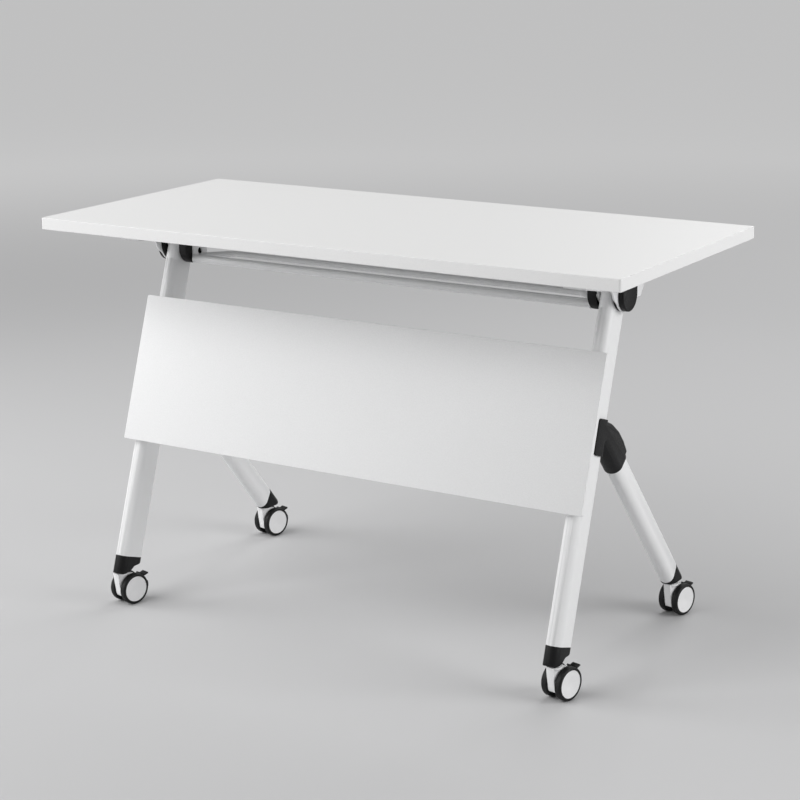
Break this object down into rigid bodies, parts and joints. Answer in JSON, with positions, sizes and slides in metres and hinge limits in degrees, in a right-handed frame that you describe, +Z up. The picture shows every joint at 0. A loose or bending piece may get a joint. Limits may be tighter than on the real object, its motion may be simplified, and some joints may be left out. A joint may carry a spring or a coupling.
{
  "type": "flip top training table",
  "caption": "Folding training table: white top that flips upright on two forked steel legs with braked casters, a release rod and a modesty panel.",
  "frame": {"origin": "on the floor, under the middle of the tabletop", "axes": "+X along the tabletop's length, to the right for someone facing the modesty panel; -Y towards the modesty panel, +Y towards the user's edge; +Z up"},
  "size_m": [1.2, 0.5642, 0.75],
  "materials": {
    "laminate": "matt white melamine face on particle board",
    "edge_plastic": "satin white edge band",
    "white_powder_coat": "satin white powder coat on steel",
    "black_plastic": "fine-grained matt black moulding",
    "bright_steel": "bright zinc plate",
    "block_alloy": "as cast",
    "white_plastic": "satin white moulding",
    "black_caster_plastic": "satin black moulding",
    "black_tread": "matt black soft tread"
  },
  "bodies": {
    "frame": {"main_leg_left": "white_powder_coat", "main_leg_right": "white_powder_coat", "rear_leg_left": "white_powder_coat", "rear_leg_right": "white_powder_coat", "joint_cover_left": "black_plastic", "joint_cover_right": "black_plastic", "leg_head_left": "white_powder_coat", "leg_head_right": "white_powder_coat", "front_foot_cap_left": "black_plastic", "front_foot_cap_right": "black_plastic", "rear_foot_cap_left": "black_plastic", "rear_foot_cap_right": "black_plastic", "lock_discs": "bright_steel", "pivot_bolts": "bright_steel", "pivot_washers": "black_plastic", "modesty_panel": "white_powder_coat", "panel_blocks": "block_alloy", "frame_screws": "bright_steel"},
    "top": {"tabletop_board": "laminate", "edge_band": "edge_plastic", "arm_left": "white_powder_coat", "arm_right": "white_powder_coat", "outer_cover_left": "black_plastic", "outer_cover_right": "black_plastic", "inner_cover_left": "black_plastic", "inner_cover_right": "black_plastic", "tie_tube": "white_powder_coat", "arm_plugs": "white_plastic", "top_screws": "bright_steel"},
    "release": {"release_rod": "white_powder_coat", "latch_plates": "bright_steel", "latch_springs": "bright_steel"},
    "caster_front_right": {"caster_front_right_body": "white_plastic", "caster_front_right_pins": "bright_steel"},
    "caster_front_right_wheel_a": {"caster_front_right_tyre_a": "black_tread", "caster_front_right_hub_a": "white_plastic"},
    "caster_front_right_wheel_b": {"caster_front_right_tyre_b": "black_tread", "caster_front_right_hub_b": "white_plastic"},
    "caster_front_right_pedal": {"caster_front_right_brake_pedal": "black_caster_plastic"},
    "caster_front_left": {"caster_front_left_body": "white_plastic", "caster_front_left_pins": "bright_steel"},
    "caster_front_left_wheel_a": {"caster_front_left_tyre_a": "black_tread", "caster_front_left_hub_a": "white_plastic"},
    "caster_front_left_wheel_b": {"caster_front_left_tyre_b": "black_tread", "caster_front_left_hub_b": "white_plastic"},
    "caster_front_left_pedal": {"caster_front_left_brake_pedal": "black_caster_plastic"},
    "caster_rear_right": {"caster_rear_right_body": "white_plastic", "caster_rear_right_pins": "bright_steel"},
    "caster_rear_right_wheel_a": {"caster_rear_right_tyre_a": "black_tread", "caster_rear_right_hub_a": "white_plastic"},
    "caster_rear_right_wheel_b": {"caster_rear_right_tyre_b": "black_tread", "caster_rear_right_hub_b": "white_plastic"},
    "caster_rear_right_pedal": {"caster_rear_right_brake_pedal": "black_caster_plastic"},
    "caster_rear_left": {"caster_rear_left_body": "white_plastic", "caster_rear_left_pins": "bright_steel"},
    "caster_rear_left_wheel_a": {"caster_rear_left_tyre_a": "black_tread", "caster_rear_left_hub_a": "white_plastic"},
    "caster_rear_left_wheel_b": {"caster_rear_left_tyre_b": "black_tread", "caster_rear_left_hub_b": "white_plastic"},
    "caster_rear_left_pedal": {"caster_rear_left_brake_pedal": "black_caster_plastic"}
  },
  "joints": [
    {"name": "top_flip", "type": "hinge", "parent": "frame", "child": "top", "pos_m": [0, -0.024, 0.677], "axis": [-1, 0, 0], "range_deg": [0, 90]},
    {"name": "lock_release", "type": "slide", "parent": "top", "child": "release", "axis": [0, 0.3746, -0.9272], "range_m": [-0.006, 0], "deforming": ["latch_springs"]},
    {"name": "caster_front_right_swivel", "type": "hinge", "parent": "frame", "child": "caster_front_right", "pos_m": [0.4705, -0.24265, 0.066], "axis": [0, 0, 1], "continuous": true},
    {"name": "caster_front_right_wheel_a_spin", "type": "hinge", "parent": "caster_front_right", "child": "caster_front_right_wheel_a", "pos_m": [0.47455, -0.22511, 0.03], "axis": [0.9744, -0.225, 0], "continuous": true},
    {"name": "caster_front_right_wheel_b_spin", "type": "hinge", "parent": "caster_front_right", "child": "caster_front_right_wheel_b", "pos_m": [0.47455, -0.22511, 0.03], "axis": [0.9744, -0.225, 0], "continuous": true},
    {"name": "caster_front_right_pedal_lift", "type": "hinge", "parent": "caster_front_right", "child": "caster_front_right_pedal", "pos_m": [0.47678, -0.21547, 0.0399], "axis": [0.9744, -0.225, 0], "range_deg": [0, 16]},
    {"name": "caster_front_left_swivel", "type": "hinge", "parent": "frame", "child": "caster_front_left", "pos_m": [-0.4705, -0.24265, 0.066], "axis": [0, 0, 1], "continuous": true},
    {"name": "caster_front_left_wheel_a_spin", "type": "hinge", "parent": "caster_front_left", "child": "caster_front_left_wheel_a", "pos_m": [-0.46645, -0.22511, 0.03], "axis": [0.9744, -0.225, 0], "continuous": true},
    {"name": "caster_front_left_wheel_b_spin", "type": "hinge", "parent": "caster_front_left", "child": "caster_front_left_wheel_b", "pos_m": [-0.46645, -0.22511, 0.03], "axis": [0.9744, -0.225, 0], "continuous": true},
    {"name": "caster_front_left_pedal_lift", "type": "hinge", "parent": "caster_front_left", "child": "caster_front_left_pedal", "pos_m": [-0.46422, -0.21547, 0.0399], "axis": [0.9744, -0.225, 0], "range_deg": [0, 16]},
    {"name": "caster_rear_right_swivel", "type": "hinge", "parent": "frame", "child": "caster_rear_right", "pos_m": [0.4705, 0.23047, 0.066], "axis": [0, 0, 1], "continuous": true},
    {"name": "caster_rear_right_wheel_a_spin", "type": "hinge", "parent": "caster_rear_right", "child": "caster_rear_right_wheel_a", "pos_m": [0.47455, 0.24801, 0.03], "axis": [0.9744, -0.225, 0], "continuous": true},
    {"name": "caster_rear_right_wheel_b_spin", "type": "hinge", "parent": "caster_rear_right", "child": "caster_rear_right_wheel_b", "pos_m": [0.47455, 0.24801, 0.03], "axis": [0.9744, -0.225, 0], "continuous": true},
    {"name": "caster_rear_right_pedal_lift", "type": "hinge", "parent": "caster_rear_right", "child": "caster_rear_right_pedal", "pos_m": [0.47678, 0.25766, 0.0399], "axis": [0.9744, -0.225, 0], "range_deg": [0, 16]},
    {"name": "caster_rear_left_swivel", "type": "hinge", "parent": "frame", "child": "caster_rear_left", "pos_m": [-0.4705, 0.23047, 0.066], "axis": [0, 0, 1], "continuous": true},
    {"name": "caster_rear_left_wheel_a_spin", "type": "hinge", "parent": "caster_rear_left", "child": "caster_rear_left_wheel_a", "pos_m": [-0.46645, 0.24801, 0.03], "axis": [0.9744, -0.225, 0], "continuous": true},
    {"name": "caster_rear_left_wheel_b_spin", "type": "hinge", "parent": "caster_rear_left", "child": "caster_rear_left_wheel_b", "pos_m": [-0.46645, 0.24801, 0.03], "axis": [0.9744, -0.225, 0], "continuous": true},
    {"name": "caster_rear_left_pedal_lift", "type": "hinge", "parent": "caster_rear_left", "child": "caster_rear_left_pedal", "pos_m": [-0.46422, 0.25766, 0.0399], "axis": [0.9744, -0.225, 0], "range_deg": [0, 16]}
  ]
}
